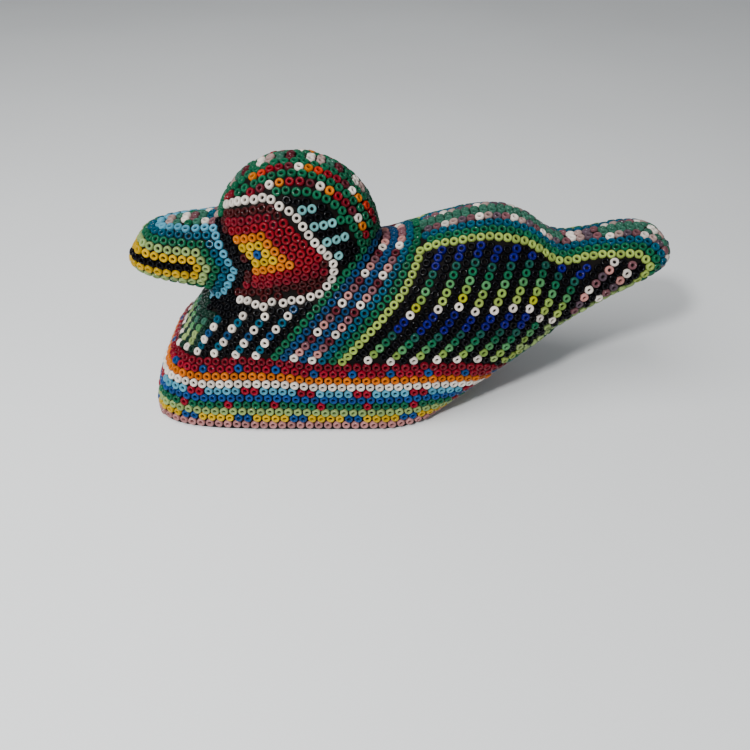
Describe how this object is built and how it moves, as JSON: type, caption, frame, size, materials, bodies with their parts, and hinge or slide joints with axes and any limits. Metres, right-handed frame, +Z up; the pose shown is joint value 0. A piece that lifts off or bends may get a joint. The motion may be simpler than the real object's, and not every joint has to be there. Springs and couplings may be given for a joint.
{
  "type": "beaded duck figure",
  "caption": "Carved wooden duck coated in beeswax and covered all over with rows of small glass seed beads; rests on its flat underside",
  "frame": {"origin": "on the table under the middle of the duck, at the bottom centre of its bounding box", "axes": "+Z up; the bill points along -Y and the tail along +Y; the duck's left side is +X"},
  "size_m": [0.044, 0.1252, 0.0607],
  "materials": {
    "wood": "bare carved wood",
    "wax": "dark beeswax with a soft sheen",
    "beads_white": "opaque white glass beads",
    "beads_rose": "opaque dusty pink glass beads",
    "beads_yellow": "opaque yellow glass beads",
    "beads_orange": "opaque orange glass beads",
    "beads_red": "translucent red glass beads",
    "beads_dark_red": "dark red glass beads",
    "beads_lime": "opaque pale green glass beads",
    "beads_green": "translucent green glass beads",
    "beads_teal": "translucent teal glass beads",
    "beads_blue": "translucent blue glass beads",
    "beads_sky": "light blue glass beads",
    "beads_black": "black glass beads",
    "beads_mauve": "mixed pink and mauve glass beads"
  },
  "bodies": {
    "root": {"wood_core": "wood", "wax_skin": "wax", "band_row_01_rose": "beads_rose", "band_row_02_yellow": "beads_yellow", "band_row_03_lime": "beads_lime", "band_row_04_green": "beads_green", "band_row_05_blue": "beads_blue", "band_row_06_sky": "beads_sky", "band_row_07_white": "beads_white", "band_row_08_orange": "beads_orange", "band_row_09_dotted_red": "beads_red", "band_row_10_dark_red": "beads_dark_red", "bill_mouth_line": "beads_black", "bill_yellow_loop": "beads_yellow", "bill_lime_loop": "beads_lime", "bill_green_loop": "beads_green", "bill_field": "beads_blue", "breast": "beads_black", "crown": "beads_green", "back_saddle": "beads_teal", "face_band_left": "beads_black", "cheek_edging_left": "beads_white", "cheek_star_left": "beads_red", "nape_left": "beads_black", "collar_left": "beads_mauve", "wing_edging_left": "beads_lime", "wing_upper_left": "beads_black", "wing_lower_left": "beads_blue", "face_band_right": "beads_black", "cheek_edging_right": "beads_white", "cheek_star_right": "beads_red", "nape_right": "beads_black", "collar_right": "beads_mauve", "wing_edging_right": "beads_lime", "wing_upper_right": "beads_black", "wing_lower_right": "beads_blue"}
  },
  "joints": []
}
